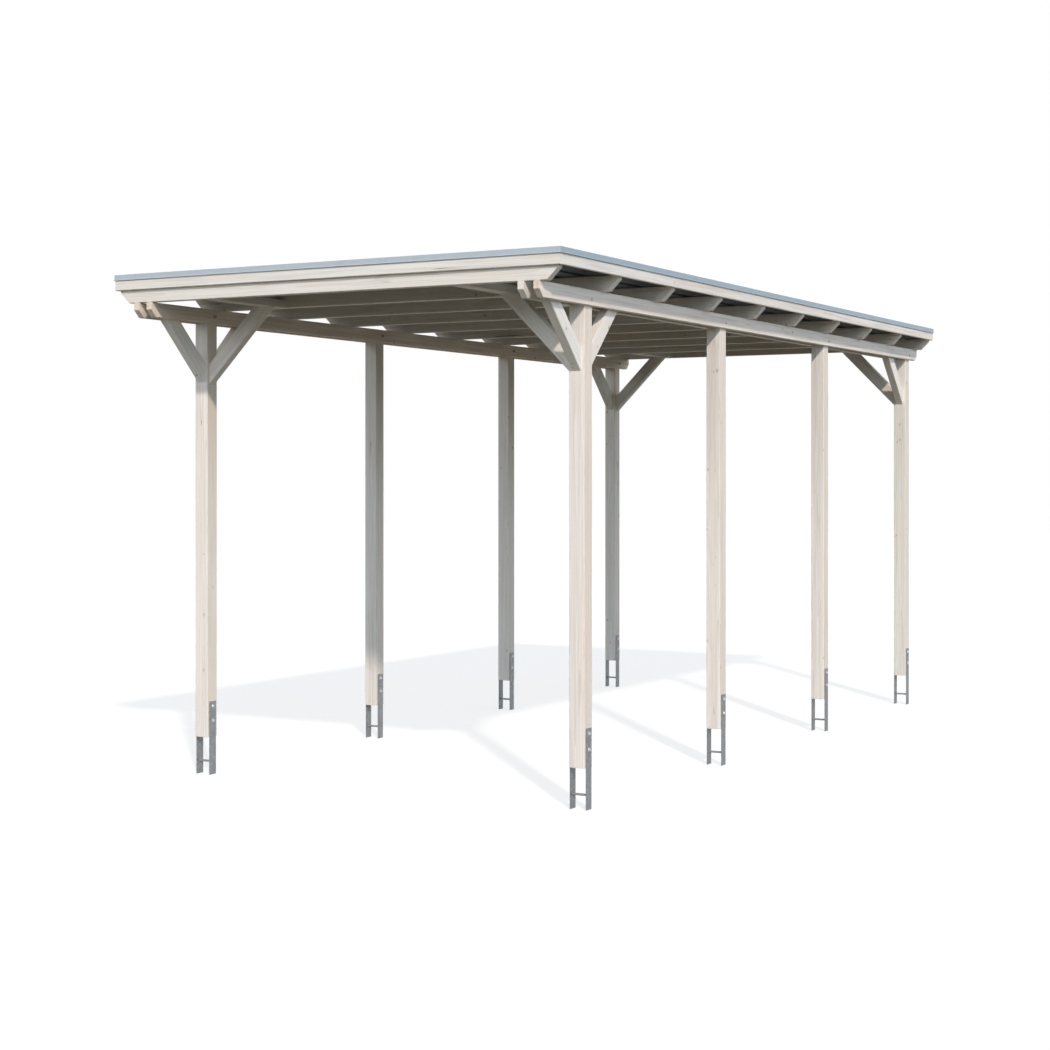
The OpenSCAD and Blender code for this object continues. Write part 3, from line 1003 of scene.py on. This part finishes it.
def seen_directly(tree):
    """1 for rays that see a surface as a picture, 0 for rays that only gather light."""
    path = add(tree, "ShaderNodeLightPath", (-600, 200)).outputs
    mirrored = math_node(tree, "MAXIMUM", path["Is Glossy Ray"], path["Is Transmission Ray"])
    return math_node(tree, "MAXIMUM", path["Is Camera Ray"], mirrored)


def make_floor():
    """A white floor that keeps a light shadow and sends little light back up."""
    mesh = bpy.data.meshes.new("floor")
    corners = [(x * FLOOR_HALF, y * FLOOR_HALF, 0) for x, y in ((-1, -1), (1, -1), (1, 1), (-1, 1))]
    mesh.from_pydata(corners, [], [(0, 1, 2, 3)])
    floor = bpy.data.objects.new("floor", mesh)
    scene.collection.objects.link(floor)
    material = bpy.data.materials.new("pale_floor")
    material.use_nodes = True
    tree = material.node_tree
    tree.nodes.clear()
    pale = add(tree, "ShaderNodeBsdfDiffuse", (-400, 0))
    pale.inputs[0].default_value = FLOOR_SHADE
    glow = add(tree, "ShaderNodeEmission", (-400, -150))
    glow.inputs[0].default_value = FLOOR_GLOW
    dim = add(tree, "ShaderNodeBsdfDiffuse", (-400, -300))
    dim.inputs[0].default_value = FLOOR_BOUNCE
    lifted = add(tree, "ShaderNodeAddShader", (-200, 0))
    both = add(tree, "ShaderNodeMixShader", (0, 0))
    output = add(tree, "ShaderNodeOutputMaterial", (200, 0))
    wire(tree, pale.outputs[0], lifted.inputs[0])
    wire(tree, glow.outputs[0], lifted.inputs[1])
    wire(tree, seen_directly(tree), both.inputs[0])
    wire(tree, dim.outputs[0], both.inputs[1])
    wire(tree, lifted.outputs[0], both.inputs[2])
    wire(tree, both.outputs[0], output.inputs[0])
    mesh.materials.append(material)


def make_world():
    """Soft light all round, cooler from the right, dimmer at the horizon and overhead, seen as white."""
    world = bpy.data.worlds.new("studio")
    scene.world = world
    world.use_nodes = True
    tree = world.node_tree
    tree.nodes.clear()
    where = add(tree, "ShaderNodeTexCoord", (-900, 0))
    to_x, _, to_z = split(tree, "XYZ", where.outputs["Generated"])
    height = math_node(tree, "MAXIMUM", to_z, 0.0)
    to_right = smooth(tree, to_x, *FRONT_TO_RIGHT)
    horizon = mix_colour(tree, to_right, HORIZON_FRONT, HORIZON_RIGHT)
    around = mix_colour(tree, to_right, SKY_FRONT, SKY_RIGHT)
    light = mix_colour(tree, smooth(tree, height, *HORIZON_TO_SKY), horizon, around)
    light = mix_colour(tree, smooth(tree, height, *SKY_TO_OVERHEAD), light, SKY_OVERHEAD)
    background = add(tree, "ShaderNodeBackground", (0, 0))
    output = add(tree, "ShaderNodeOutputWorld", (200, 0))
    wire(tree, mix_colour(tree, seen_directly(tree), light, SKY_SEEN), background.inputs[0])
    wire(tree, background.outputs[0], output.inputs[0])


def make_key_light():
    lamp = bpy.data.lights.new("key", "SUN")
    lamp.energy = SUN_STRENGTH
    lamp.angle = SUN_SPREAD
    lamp.color = SUN_COLOUR
    key = bpy.data.objects.new("key", lamp)
    key.rotation_mode = "QUATERNION"
    key.rotation_quaternion = TO_SUN.to_track_quat("Z", "Y")
    scene.collection.objects.link(key)


make_floor()
make_world()
make_key_light()
